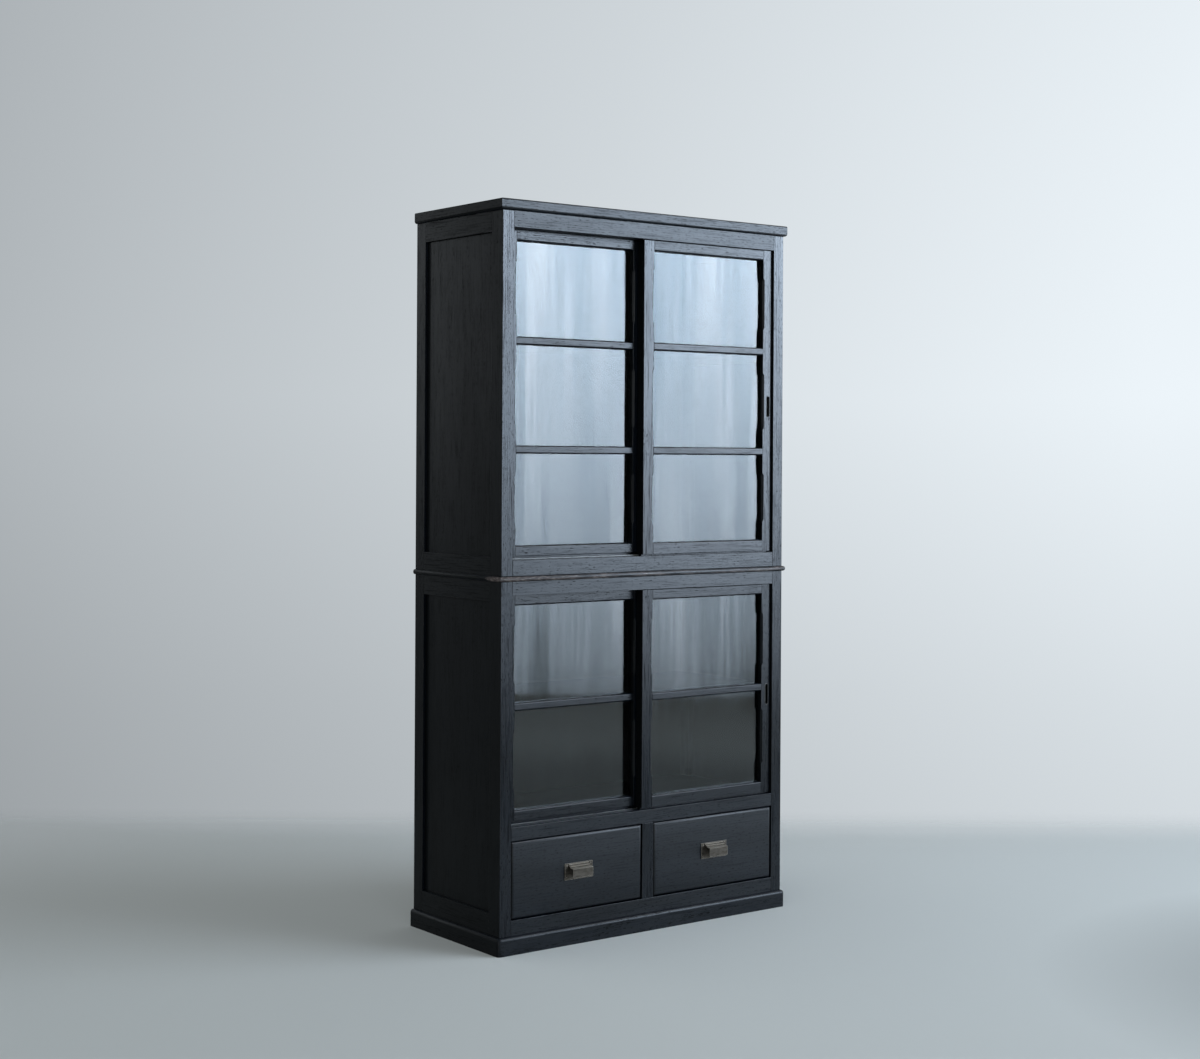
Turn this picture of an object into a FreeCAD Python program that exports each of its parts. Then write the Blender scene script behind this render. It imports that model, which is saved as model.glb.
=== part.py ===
# A two-tier Japanese kitchen cabinet (mizuya) with sliding glazed doors above and below and two
# drawers in the foot. X runs to the right, Y to the back and Z up, in millimetres, and the origin
# is on the floor under the middle of the whole outline.
import FreeCAD, Part
import os
import re
import Sketcher

# Sizes that can be set by themselves, in millimetres.
sizes = {
    # The two cases and the boards above, between and under them.
    "caseWidth": 898,
    "caseDepth": 385,
    "plinthHeight": 43,
    "lowerCaseHeight": 845,
    "waistThick": 13,
    "upperCaseHeight": 872,
    "corniceThick": 27,
    "plinthReach": 9,
    "plinthThick": 24,
    "plinthTopRadius": 8,
    "plinthCornerRadius": 10,
    "waistReach": 6.5,
    "waistRadius": 6,
    "corniceReach": 7.5,
    "corniceTopRadius": 3.5,
    "corniceUnderRadius": 6.5,
    # Posts, and the rails and panels of the sides.
    "postWidth": 33,
    "frontPostDepth": 47,
    "backPostDepth": 40,
    "sideRailThick": 24,
    "upperSideHeadRail": 49,
    "upperSideFootRail": 45,
    "lowerSideHeadRail": 48,
    "lowerSideFootRail": 52,
    "panelSetback": 8.5,
    "panelThick": 6,
    "panelTongue": 7,
    # Rails across the front.
    "upperHeadRail": 39,
    "upperSillRail": 38,
    "lowerHeadRail": 33,
    "lowerSillRail": 33,
    "footRail": 37,
    "footRailThick": 24,
    "trackDepth": 68,
    "dividerWidth": 35,
    "tenonLength": 20,
    "tenonThick": 12,
    "tenonSetback": 12,
    "tenonShoulder": 8,
    "sideTenonLength": 14,
    "sideTenonThick": 10,
    # Boards inside.
    "backBoardThick": 6,
    "backRebate": 12,
    "floorThick": 12,
    "shelfThick": 14,
    "shelfGap": 0.5,
    "shelfSetback": 4,
    "cleatWidth": 28,
    "cleatHeight": 18,
    "guideHeight": 30,
    # Sliding doors and their tracks.
    "doorSetback": 7,
    "doorThick": 24,
    "doorPlaneGap": 2,
    "doorOverlap": 30,
    "doorEdgeGap": 0.5,
    "leftDoorFootGap": 8,
    "rightDoorFootGap": 3,
    "doorHeadGap": 1.5,
    "doorHeadRail": 26,
    "doorFootLevel": 33,
    "muntinHeight": 20,
    "barChamfer": 3,
    "upperLeftMeetingStile": 44,
    "upperRightMeetingStile": 33,
    "lowerLeftMeetingStile": 36,
    "lowerRightMeetingStile": 33,
    "pullStile": 30,
    "upperTopPane": 230,
    "upperMiddlePane": 243,
    "lowerTopPane": 234,
    "doorTongue": 10,
    "slideGap": 0.5,
    "sillGroove": 3,
    "headGroove": 10,
    "headTongue": 7,
    "seatGap": 0.3,
    "doorTenonLength": 12,
    "doorTenonThick": 8,
    "doorTenonShoulder": 6,
    "paneSetback": 13,
    "paneThick": 3,
    "paneBite": 5,
    "stopChamfer": 4.5,
    "stopDistance": 46,
    "stopRun": 7,
    "recessWidth": 7,
    "recessHeight": 52,
    "recessDepth": 10,
    "recessRim": 1.2,
    "recessInset": 12,
    "upperRecessHeight": 383,
    "lowerRecessHeight": 262,
    # Drawers.
    "drawerHeight": 189,
    "drawerGap": 1.5,
    "drawerFrontThick": 22,
    "drawerFrontRadius": 8,
    "drawerBackGap": 39,
    "drawerSideHeight": 165,
    "drawerSideThick": 10,
    "drawerLap": 12,
    "drawerBottomThick": 5,
    "drawerBottomRaise": 8,
    "drawerGroove": 4,
    # Drawer pulls.
    "pullWidth": 84,
    "pullHeight": 40,
    "pullRaise": 2.5,
    "pullReach": 21,
    "pullPlateThick": 2,
    "hoodWidth": 60,
    "hoodWall": 2,
    "hoodInset": 1.5,
    "hoodSlope": 1.2,
    "ridgeStep": 3,
    "lipHeight": 21.5,
    "pinHeadRadius": 2.2,
    "pinHeadHeight": 1.2,
    "pinRadius": 0.9,
    "pinLength": 14,
    "pinInset": 6,
    # How far a cutting block runs past the face that it cuts.
    "overrun": 5,
}

# Faces and heights worked out from the sizes.
levels = {
    "front": "-(caseDepth - pullReach) / 2",
    "back": "front + caseDepth",
    "side": "caseWidth / 2",
    "jamb": "side - postWidth",
    "railInside": "side - sideRailThick",
    "panelOutside": "side - panelSetback",
    "panelInside": "panelOutside - panelThick",
    "postBack": "front + frontPostDepth",
    "trackBack": "front + trackDepth",
    "footRailBack": "front + footRailThick",
    "backPostFront": "back - backPostDepth",
    "boardFront": "back - backBoardThick",
    "boardEdge": "jamb + backRebate",
    "lowerFoot": "plinthHeight",
    "lowerHead": "lowerFoot + lowerCaseHeight",
    "upperFoot": "lowerHead + waistThick",
    "upperHead": "upperFoot + upperCaseHeight",
    "upperSill": "upperFoot + upperSillRail",
    "upperLintel": "upperHead - upperHeadRail",
    "drawerFloor": "lowerFoot + footRail",
    "drawerCeiling": "drawerFloor + drawerHeight",
    "lowerSill": "drawerCeiling + lowerSillRail",
    "lowerLintel": "lowerHead - lowerHeadRail",
    "leftDoorFace": "rightDoorFace + doorThick + doorPlaneGap",
    "rightDoorFace": "front + doorSetback",
    "doorEdge": "jamb - doorEdgeGap",
    "tongueInset": "(doorThick - doorTongue) / 2",
    "drawerFoot": "drawerFloor + seatGap",
    "drawerOut": "jamb - drawerGap",
    "drawerIn": "dividerWidth / 2 + drawerGap",
    "drawerEnd": "boardFront - drawerBackGap",
    "drawerMiddle": "(drawerOut + drawerIn) / 2",
    "pullMiddle": "(drawerFloor + drawerCeiling) / 2 + pullRaise",
}
backBoardCount = 5
# Where the two treads of a pull's hood end, as shares of its reach from the drawer front.
treadShares = (0.2, 0.45)
near = 1e-6

document = FreeCAD.newDocument("mizuya")
sheet = document.addObject("Spreadsheet::Sheet", "sizes")
for row, (alias, value) in enumerate(sizes.items(), 1):
    sheet.set(f"A{row}", alias)
    sheet.set(f"B{row}", str(value))
    sheet.setAlias(f"B{row}", alias)
document.recompute()
subparts = {}


def formula(text):
    # Swaps each level for its own sum and each size for its cell.
    def swap(match):
        word = match.group()
        if word in levels:
            return f"({formula(levels[word])})"
        return f"sizes.{word}" if word in sizes else word
    return re.sub(r"[A-Za-z]\w*", swap, text)


def bind(piece, **sums):
    for name, text in sums.items():
        piece.setExpression(name.replace("_", "."), formula(text))


def spread(piece, x, y, z):
    # Sizes and places a box from its low and high face along each axis.
    for side, axis, (low, high) in (("Length", "x", x), ("Width", "y", y), ("Height", "z", z)):
        piece.setExpression(side, formula(f"({high}) - ({low})"))
        piece.setExpression(f"Placement.Base.{axis}", formula(low))
    return piece


def block(label, x, y, z):
    return spread(document.addObject("Part::Box", label), x, y, z)


def bodyBlock(body, label, x, y, z):
    return spread(body.newObject("PartDesign::AdditiveBox", label), x, y, z)


def joined(label, pieces):
    fusion = document.addObject("Part::MultiFuse", label)
    fusion.Shapes = pieces
    fusion.Refine = True
    return fusion


def grouped(label, pieces):
    group = document.addObject("Part::Compound", label)
    group.Links = pieces
    return group


def cut(label, base, tools):
    piece = document.addObject("Part::Cut", label)
    piece.Base = base
    piece.Tool = tools[0] if len(tools) == 1 else grouped(f"{label}_cutters", tools)
    piece.Refine = True
    return piece


def mirrored(label, source):
    mirror = document.addObject("Part::Mirroring", label)
    mirror.Source = source
    mirror.Normal = FreeCAD.Vector(1, 0, 0)
    return mirror


def paired(label, source):
    return grouped(label, [source, mirrored(f"{label}_left", source)])


def mirroredSpan(span):
    return (f"-({span[1]})", f"-({span[0]})")


def both(half):
    # A span that reaches as far to the left as to the right.
    return (f"-({half})", half)


def keep(piece):
    # Marks an object as a finished sub-part: its label names its file.
    subparts[piece.Label] = piece
    return piece


def newBody(label):
    return document.addObject("PartDesign::Body", label)


def sketchOn(body, role, label):
    sketch = body.newObject("Sketcher::SketchObject", label)
    plane = next(item for item in body.Origin.OriginFeatures if item.Role == role)
    sketch.AttachmentSupport = [(plane, "")]
    sketch.MapMode = "FlatFace"
    return sketch


def pinPoint(sketch, geometry, end, place):
    # Holds a point of the sketch at two worked out distances from its origin.
    for kind, text in zip(("DistanceX", "DistanceY"), place):
        value = sheet.evalExpression(formula(text))
        sketch.addConstraint(Sketcher.Constraint(kind, -1, 1, geometry, end, float(value)))
        sketch.setExpression(f"Constraints[{sketch.ConstraintCount - 1}]", formula(text))


def polygon(sketch, points):
    # A closed outline through points that are each held by their two sums.
    places = [FreeCAD.Vector(*(float(sheet.evalExpression(formula(text))) for text in point), 0)
              for point in points]
    first = sketch.GeometryCount
    count = len(points)
    for index in range(count):
        line = Part.LineSegment(places[index], places[(index + 1) % count])
        sketch.addGeometry(line, False)
    for index in range(count):
        following = first + (index + 1) % count
        sketch.addConstraint(Sketcher.Constraint("Coincident", first + index, 2, following, 1))
    for index, point in enumerate(points):
        pinPoint(sketch, first + index, 1, point)


def padded(body, sketch, label, length):
    pad = body.newObject("PartDesign::Pad", label)
    pad.Profile = sketch
    bind(pad, Length=length)
    return pad


def edgesWhere(feature, test):
    return [f"Edge{number}" for number, edge in enumerate(feature.Shape.Edges, 1)
            if test(edge.BoundBox, feature.Shape.BoundBox)]


def dressed(kind, body, feature, label, test, **sums):
    document.recompute()
    dressing = body.newObject(f"PartDesign::{kind}", label)
    dressing.Base = (feature, edgesWhere(feature, test))
    bind(dressing, **sums)
    return dressing


def rounded(body, feature, label, test, radius):
    return dressed("Fillet", body, feature, label, test, Radius=radius)


def chamfered(body, feature, label, test, size):
    return dressed("Chamfer", body, feature, label, test, Size=size)


def onTop(edge, whole):
    return whole.ZMax - edge.ZMin < near


def underneath(edge, whole):
    return edge.ZMax - whole.ZMin < near


def atBack(edge, whole):
    return whole.YMax - edge.YMin < near


def outside(edge, whole):
    # True of an edge on the left, right or front face, of which the back edge is none.
    left = edge.XMax - whole.XMin < near
    right = whole.XMax - edge.XMin < near
    return (left or right or edge.YMax - whole.YMin < near) and not atBack(edge, whole)


def topBoard(label, reach, z, upperRadius, underRadius):
    # A board that covers a case, moulded along its front and sides and square at the back.
    body = newBody(label)
    slab = bodyBlock(body, f"{label}_slab", both(f"side + {reach}"),
                     (f"front - {reach}", "back"), z)
    upper = rounded(body, slab, f"{label}_upper_round",
                    lambda edge, whole: onTop(edge, whole) and outside(edge, whole), upperRadius)
    rounded(body, upper, f"{label}_under_round",
            lambda edge, whole: underneath(edge, whole) and outside(edge, whole), underRadius)
    keep(body)


def plinth():
    # A skirt of three boards, moulded as one and sawn apart at the two mitres, and a back board.
    outX = "side + plinthReach"
    outY = "front - plinthReach"
    inX = f"{outX} - plinthThick"
    inY = f"{outY} + plinthThick"
    body = newBody("plinth_skirt")
    sketch = sketchOn(body, "XY_Plane", "plinth_outline")
    polygon(sketch, [(f"-({outX})", outY), (outX, outY), (outX, "back"), (inX, "back"),
                     (inX, inY), (f"-({inX})", inY), (f"-({inX})", "back"), (f"-({outX})", "back")])
    pad = padded(body, sketch, "plinth_height", "plinthHeight")

    def frontCorner(edge, whole):
        return edge.ZLength > near and edge.YMax - whole.YMin < near

    corners = rounded(body, pad, "plinth_corners", frontCorner, "plinthCornerRadius")
    document.recompute()
    radius = corners.Radius.Value

    def outerTop(edge, whole):
        inCorner = edge.YMax - whole.YMin < radius + near and edge.XLength < radius + near
        return onTop(edge, whole) and (outside(edge, whole) or inCorner)

    rounded(body, corners, "plinth_top_round", outerTop, "plinthTopRadius")
    wedge = document.addObject("Part::Wedge", "plinth_mitre_block")
    bind(wedge, Xmin=f"-({outX} + overrun)", Xmax=f"{outX} + overrun",
         Ymin=f"{outY} - overrun", Ymax=inY, Zmin="-overrun", Zmax="plinthHeight + overrun",
         X2min=f"-({inX})", X2max=inX, Z2min="-overrun", Z2max="plinthHeight + overrun")
    board = document.addObject("Part::Common", "plinth_front_board")
    board.Base = body
    board.Tool = wedge
    keep(board)
    sideBoards = cut("plinth_sides", body, [wedge])
    backBoard = block("plinth_back", both(inX), ("back - plinthThick", "back"), ("0", "plinthHeight"))
    keep(grouped("plinth_side_and_back_boards", [sideBoards, backBoard]))


def frontRail(label, thick, z):
    # A rail between the front posts with a stub tenon at each end.
    rail = block(f"{label}_bar", both("jamb"), ("front", f"front + {thick}"), z)
    tenon = block(f"{label}_tenon", both("jamb + tenonLength"),
                  ("front + tenonSetback", "front + tenonSetback + tenonThick"),
                  (f"{z[0]} + tenonShoulder", f"{z[1]} - tenonShoulder"))
    return joined(f"{label}_blank", [rail, tenon])


def trackRail(label, z, grooveZ, others=()):
    # A deep front rail with the two grooves that the door tongues run in.
    grooves = []
    for hand in ("left", "right"):
        low = f"{hand}DoorFace + tongueInset - slideGap"
        high = f"{hand}DoorFace + doorThick - tongueInset + slideGap"
        grooves.append(block(f"{label}_{hand}_groove", both("jamb"), (low, high), grooveZ))
    return keep(cut(label, frontRail(label, "trackDepth", z), grooves + list(others)))


def sidePieces(case, foot, head, footRail, headRail):
    # The rails and the panel of one side, with the panel's edges held in grooves.
    y = ("postBack", "backPostFront")
    panel = block(f"{case}_panel", ("panelInside", "panelOutside"),
                  ("postBack - panelTongue", "backPostFront + panelTongue"),
                  (f"{foot} + {footRail} - panelTongue", f"{head} - {headRail} + panelTongue"))
    panels = keep(paired(f"{case}_side_panels", panel))
    rails = []
    for name, low, high in (("foot", foot, f"{foot} + {footRail}"),
                            ("head", f"{head} - {headRail}", head)):
        bar = block(f"{case}_side_{name}_bar", ("railInside", "side"), y, (low, high))
        middle = "(railInside + side) / 2"
        tenon = block(f"{case}_side_{name}_tenon",
                      (f"{middle} - sideTenonThick / 2", f"{middle} + sideTenonThick / 2"),
                      ("postBack - sideTenonLength", "backPostFront + sideTenonLength"),
                      (f"{low} + tenonShoulder", f"{high} - tenonShoulder"))
        rails.append(joined(f"{case}_side_{name}_rail", [bar, tenon]))
    pair = paired(f"{case}_side_rail_blanks", grouped(f"{case}_right_rails", rails))
    return panels, keep(cut(f"{case}_side_rails", pair, [panels]))


def backBoards(case, foot, head):
    # Upright boards side by side, let into a rebate of the back posts.
    width = f"2 * (boardEdge) / {backBoardCount}"
    boards = [block(f"{case}_back_board_{index + 1}",
                    (f"{index} * {width} - (boardEdge)", f"{index + 1} * {width} - (boardEdge)"),
                    ("boardFront", "back"), (foot, head)) for index in range(backBoardCount)]
    return keep(grouped(f"{case}_back_boards", boards))


def posts(case, foot, head, frontRails, sideRails, panels, boards):
    # Front posts with an inner leg that the doors close against, and plain back posts.
    body = newBody(f"{case}_front_post")
    sketch = sketchOn(body, "XY_Plane", f"{case}_post_section")
    polygon(sketch, [("jamb", "front"), ("side", "front"), ("side", "postBack"),
                     ("railInside", "postBack"), ("railInside", "trackBack"),
                     ("jamb", "trackBack")])
    sketch.setExpression("AttachmentOffset.Base.z", formula(foot))
    padded(body, sketch, f"{case}_post_height", f"{head} - ({foot})")
    frontPair = paired(f"{case}_front_post_blanks", body)
    keep(cut(f"{case}_front_posts", frontPair, frontRails + [sideRails, panels]))
    back = block(f"{case}_back_post", ("jamb", "side"), ("backPostFront", "back"), (foot, head))
    backPair = paired(f"{case}_back_post_blanks", back)
    keep(cut(f"{case}_back_posts", backPair, [sideRails, panels, boards]))


def innerBoard(label, edge, y, z, corners):
    # A level board that fills the case and is notched round the posts that it meets.
    board = block(f"{label}_blank", both(edge), y, z)
    notches = []
    for name, span in corners:
        notch = block(f"{label}_{name}_notch", ("jamb", f"{edge} + overrun"), span,
                      (f"{z[0]} - overrun", f"{z[1]} + overrun"))
        notches += [notch, mirrored(f"{label}_{name}_notch_left", notch)]
    return keep(cut(label, board, notches))


def cleats(label, tops):
    # Bars along the sides that the shelves lie on.
    bars = [block(f"{label}_{index + 1}", ("panelInside - cleatWidth", "panelInside"),
                  ("trackBack", "backPostFront"), (f"{top} - cleatHeight", top))
            for index, top in enumerate(tops)]
    keep(paired(label, grouped(f"{label}_right", bars)))


def paneSpans(sill, lintel, drops):
    # Heights of the glass openings of a door, from the top one down.
    top = f"{lintel} - doorHeadGap - doorHeadRail"
    spans = []
    for drop in drops:
        spans.append((f"{top} - {drop}", top))
        top = f"{top} - {drop} - muntinHeight"
    spans.append((f"{sill} + doorFootLevel", top))
    return spans


def shelfSpan(upperPane):
    # A shelf is level with the muntin under the given pane.
    middle = f"{upperPane[0]} - muntinHeight / 2"
    return (f"{middle} - shelfThick / 2", f"{middle} + shelfThick / 2")


def shelf(label, z):
    return block(label, both("jamb - shelfGap"), ("trackBack + shelfSetback", "boardFront"), z)


def stopChamfers(body, label, right, inner, face, panes):
    # Chamfers along the inner edge of a stile that run out before each rail and muntin. Each is
    # cut by a long block with sloping ends, square to the chamfer, through the edge itself.
    sketch = sketchOn(body, "XZ_Plane", f"{label}_chamfers")
    turn = 45 if right else -45
    sketch.AttachmentOffset = FreeCAD.Placement(
        FreeCAD.Vector(), FreeCAD.Rotation(FreeCAD.Vector(0, 1, 0), turn))
    sketch.setExpression("AttachmentOffset.Base.x", formula(inner))
    sketch.setExpression("AttachmentOffset.Base.z", formula(f"-({face})"))
    depth, clear = "stopChamfer / sqrt(2)", "-overrun"
    if not right:
        depth, clear = f"-{depth}", "overrun"
    for low, high in panes:
        start = f"{low} + stopDistance"
        end = f"{high} - stopDistance"
        polygon(sketch, [(clear, start), ("0", start), (depth, f"{start} + stopRun"),
                         (depth, f"{end} - stopRun"), ("0", end), (clear, end)])
    pocket = body.newObject("PartDesign::Pocket", f"{label}_chamfer_cut")
    pocket.Profile = sketch
    pocket.SideType = "Symmetric"
    bind(pocket, Length="2 * stopChamfer")


def fingerRecess(body, label, face, x, z):
    # An upright slot with round ends and a bevelled rim, for the fingertips.
    sketch = sketchOn(body, "XZ_Plane", f"{label}_recess")
    sketch.setExpression("AttachmentOffset.Base.z", formula(f"-({face})"))
    radius = "recessWidth / 2"
    reach = "recessHeight / 2 - recessWidth / 2"
    size = float(sheet.evalExpression(formula(radius)))
    middle = [float(sheet.evalExpression(formula(text))) for text in (x, z)]
    half = float(sheet.evalExpression(formula(reach)))
    upper = FreeCAD.Vector(middle[0], middle[1] + half, 0)
    lower = FreeCAD.Vector(middle[0], middle[1] - half, 0)
    across = FreeCAD.Vector(size, 0, 0)
    upright = FreeCAD.Vector(0, size, 0)
    sketch.addGeometry(Part.Arc(upper + across, upper + upright, upper - across), False)
    sketch.addGeometry(Part.LineSegment(upper - across, lower - across), False)
    sketch.addGeometry(Part.Arc(lower - across, lower - upright, lower + across), False)
    sketch.addGeometry(Part.LineSegment(lower + across, upper + across), False)
    for index in range(4):
        following = (index + 1) % 4
        sketch.addConstraint(Sketcher.Constraint("Tangent", index, 2, following, 1))
    pinPoint(sketch, 0, 3, (x, f"{z} + {reach}"))
    pinPoint(sketch, 2, 3, (x, f"{z} - ({reach})"))
    sketch.addConstraint(Sketcher.Constraint("Radius", 0, size))
    sketch.setExpression(f"Constraints[{sketch.ConstraintCount - 1}]", formula(radius))
    pocket = body.newObject("PartDesign::Pocket", f"{label}_recess_cut")
    pocket.Profile = sketch
    bind(pocket, Length="recessDepth")
    frontFace = float(sheet.evalExpression(formula(face)))
    reachUp = half + size + near

    def onRim(edge, whole):
        level = abs(edge.YMax - frontFace) < near and abs(edge.YMin - frontFace) < near
        inside = abs(edge.Center.x - middle[0]) < size + near
        return level and inside and abs(edge.Center.z - middle[1]) < reachUp

    chamfered(body, pocket, f"{label}_recess_rim", onRim, "recessRim")


def stile(label, right, x, face, z, tongues, panes, inner, recess=None):
    body = newBody(f"{label}_blank")
    y = (face, f"{face} + doorThick")
    bodyBlock(body, f"{label}_bar", x, y, z)
    tongueY = (f"{face} + tongueInset", f"{face} + doorThick - tongueInset")
    for name, span in zip(("foot", "head"), tongues):
        bodyBlock(body, f"{label}_{name}_tongue", x, tongueY, span)
    stopChamfers(body, label, right, inner, face, panes)
    if recess:
        fingerRecess(body, label, face, *recess)
    return body


def door(case, hand, sill, lintel, drops, recessHeight):
    # A glazed frame: two stiles, two rails, muntins between the panes, and tongues that run in
    # the tracks. The right door closes to the right in front, the left one to the left behind it
    # and stands higher on its tongue.
    name = f"{case}_{hand}_door"
    right = hand == "right"

    def across(low, high):
        return (low, high) if right else mirroredSpan((low, high))

    face = f"{hand}DoorFace"
    meetingIn = f"{case}{hand.title()}MeetingStile - doorOverlap / 2"
    pullIn = "doorEdge - pullStile"
    z = (f"{sill} + {hand}DoorFootGap", f"{lintel} - doorHeadGap")
    tongues = ((f"{sill} - sillGroove + seatGap", z[0]), (z[1], f"{z[1]} + headTongue"))
    y = (face, f"{face} + doorThick")
    tongueY = (f"{face} + tongueInset", f"{face} + doorThick - tongueInset")
    openings = paneSpans(sill, lintel, drops)
    paneY = (f"{face} + paneSetback", f"{face} + paneSetback + paneThick")
    panes = keep(grouped(f"{name}_panes", [
        block(f"{name}_pane_{index + 1}", across(f"{meetingIn} - paneBite", f"{pullIn} + paneBite"),
              paneY, (f"{low} - paneBite", f"{high} + paneBite"))
        for index, (low, high) in enumerate(openings)]))

    tenonX = across(f"{meetingIn} - doorTenonLength", f"{pullIn} + doorTenonLength")
    tenonY = (f"{face} + (doorThick - doorTenonThick) / 2",
              f"{face} + (doorThick + doorTenonThick) / 2")

    def bar(label, span, *glazed):
        # The front edges next to the glass are chamfered.
        def frontByGlass(edge, whole):
            sideways = edge.XLength > near and edge.YMax - whole.YMin < near
            return sideways and any(meetsGlass(edge, whole) for meetsGlass in glazed)

        tenon = block(f"{label}_tenon", tenonX, tenonY,
                      (f"{span[0]} + doorTenonShoulder", f"{span[1]} - doorTenonShoulder"))
        body = newBody(f"{label}_bar")
        stick = bodyBlock(body, f"{label}_stick", across(meetingIn, pullIn), y, span)
        chamfered(body, stick, f"{label}_chamfers", frontByGlass, "barChamfer")
        return [body, tenon]

    footRail = bar(f"{name}_foot_rail", (z[0], f"{sill} + doorFootLevel"), onTop)
    headRail = bar(f"{name}_head_rail", (f"{z[1]} - doorHeadRail", z[1]), underneath)
    for rail, where, span in zip((footRail, headRail), ("foot", "head"), tongues):
        rail.append(block(f"{name}_{where}_rail_tongue", across(meetingIn, pullIn), tongueY, span))
    railBlanks = grouped(f"{name}_rail_blanks", [joined(f"{name}_foot_rail", footRail),
                                                 joined(f"{name}_head_rail", headRail)])
    rails = keep(cut(f"{name}_rails", railBlanks, [panes]))
    muntinBlanks = [
        joined(f"{name}_muntin_{index + 1}",
               bar(f"{name}_muntin_{index + 1}", (f"{low} - muntinHeight", low), onTop, underneath))
        for index, (low, high) in enumerate(openings[:-1])]
    muntins = keep(cut(f"{name}_muntins", grouped(f"{name}_muntin_blanks", muntinBlanks), [panes]))

    meetX = across("-doorOverlap / 2", meetingIn)
    pullX = across(pullIn, "doorEdge")
    recessX = "doorEdge - recessInset"
    recess = (recessX if right else f"-({recessX})", f"{sill} + {recessHeight}")
    meeting = stile(f"{name}_meeting_stile", not right, meetX, face, z, tongues, openings,
                    meetingIn if right else f"-({meetingIn})")
    pull = stile(f"{name}_pull_stile", right, pullX, face, z, tongues, openings,
                 pullIn if right else f"-({pullIn})", recess)
    keep(cut(f"{name}_meeting_stile", meeting, [rails, muntins, panes]))
    keep(cut(f"{name}_pull_stile", pull, [rails, muntins, panes]))


def pullPins(name, x):
    # Four round-headed pins, two at each end of the back plate.
    pins = []
    plateFace = "front - pullPlateThick"
    for column, sideways in enumerate(("-", "+")):
        for row, upward in enumerate(("-", "+")):
            place = (f"{x} {sideways} (pullWidth / 2 - pinInset)",
                     f"pullMiddle {upward} (pullHeight / 2 - pinInset)")
            label = f"{name}_pin_{2 * column + row + 1}"
            shank = document.addObject("Part::Cylinder", f"{label}_shank")
            head = document.addObject("Part::Ellipsoid", f"{label}_head")
            bind(shank, Radius="pinRadius", Height="pinLength")
            bind(head, Radius1="pinHeadHeight", Radius2="pinHeadRadius", Radius3="pinHeadRadius")
            head.Angle1 = 0
            # The shank points to the back and the dome to the front.
            for piece, turn in ((shank, -90), (head, 90)):
                piece.Placement = FreeCAD.Placement(
                    FreeCAD.Vector(), FreeCAD.Rotation(FreeCAD.Vector(1, 0, 0), turn))
                bind(piece, Placement_Base_x=place[0], Placement_Base_y=plateFace,
                     Placement_Base_z=place[1])
            pins.append(joined(label, [shank, head]))
    return keep(grouped(f"{name}_pull_pins", pins))


def pull(name, x, pins):
    # A cast pull: a flat back plate, and a hood with a ridged top and an upright lip.
    body = newBody(f"{name}_pull_casting")
    bodyBlock(body, f"{name}_plate", (f"{x} - pullWidth / 2", f"{x} + pullWidth / 2"),
              ("front - pullPlateThick", "front"),
              ("pullMiddle - pullHeight / 2", "pullMiddle + pullHeight / 2"))
    sketch = sketchOn(body, "YZ_Plane", f"{name}_hood_section")
    sketch.setExpression("AttachmentOffset.Base.z", formula(f"{x} - hoodWidth / 2"))
    root = "front - pullPlateThick / 2"
    top = "pullMiddle + pullHeight / 2 - hoodInset"
    face = "front - pullReach"
    lip = f"{top} - 2 * ridgeStep - 3 * hoodSlope"
    outer = [(root, top)]
    inner = [(root, f"{top} - hoodSlope - ridgeStep - hoodWall")]
    for index, share in enumerate(treadShares):
        edge = f"front - {share} * pullReach"
        tread = f"{top} - {index + 1} * hoodSlope - {index} * ridgeStep"
        outer += [(edge, tread), (edge, f"{tread} - ridgeStep")]
        inner.append((f"{edge} + hoodWall", f"{tread} - ridgeStep - hoodWall"))
    outer += [(face, lip), (face, f"{lip} - lipHeight")]
    inner += [(f"{face} + hoodWall", f"{lip} - hoodWall"),
              (f"{face} + hoodWall", f"{lip} - lipHeight")]
    polygon(sketch, outer + inner[::-1])
    padded(body, sketch, f"{name}_hood", "hoodWidth")
    keep(cut(f"{name}_pull", body, [pins]))


def drawer(hand):
    # A drawer box with a thick front, a bottom in grooves and a cast pull.
    name = f"{hand}_drawer"
    right = hand == "right"

    def across(low, high):
        return (low, high) if right else mirroredSpan((low, high))

    middle = "drawerMiddle" if right else "-drawerMiddle"
    sideTop = "drawerFoot + drawerSideHeight"
    bottomZ = ("drawerFoot + drawerBottomRaise",
               "drawerFoot + drawerBottomRaise + drawerBottomThick")
    lap = "front + drawerFrontThick - drawerLap"
    inward = ("drawerIn + drawerSideThick", "drawerOut - drawerSideThick")
    bottom = keep(block(f"{name}_bottom",
                        across(f"{inward[0]} - drawerGroove", f"{inward[1]} + drawerGroove"),
                        ("front + drawerFrontThick - drawerGroove", "drawerEnd"), bottomZ))
    sideBars = [block(f"{name}_{where}_side", across(*span), (lap, "drawerEnd"),
                      ("drawerFoot", sideTop))
                for where, span in (("inner", ("drawerIn", inward[0])),
                                    ("outer", (inward[1], "drawerOut")))]
    sides = keep(cut(f"{name}_sides", grouped(f"{name}_side_blanks", sideBars), [bottom]))
    keep(block(f"{name}_back", across(*inward), ("drawerEnd - drawerSideThick", "drawerEnd"),
               (bottomZ[1], sideTop)))
    pins = pullPins(name, middle)
    body = newBody(f"{name}_front_board")
    slab = bodyBlock(body, f"{name}_front_slab", across("drawerIn", "drawerOut"),
                     ("front", "front + drawerFrontThick"),
                     ("drawerFloor + drawerGap", "drawerCeiling - drawerGap"))
    rounded(body, slab, f"{name}_front_round",
            lambda edge, whole: edge.YMax - whole.YMin < near, "drawerFrontRadius")
    keep(cut(f"{name}_front", body, [sides, bottom, pins]))
    pull(name, middle, pins)


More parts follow.
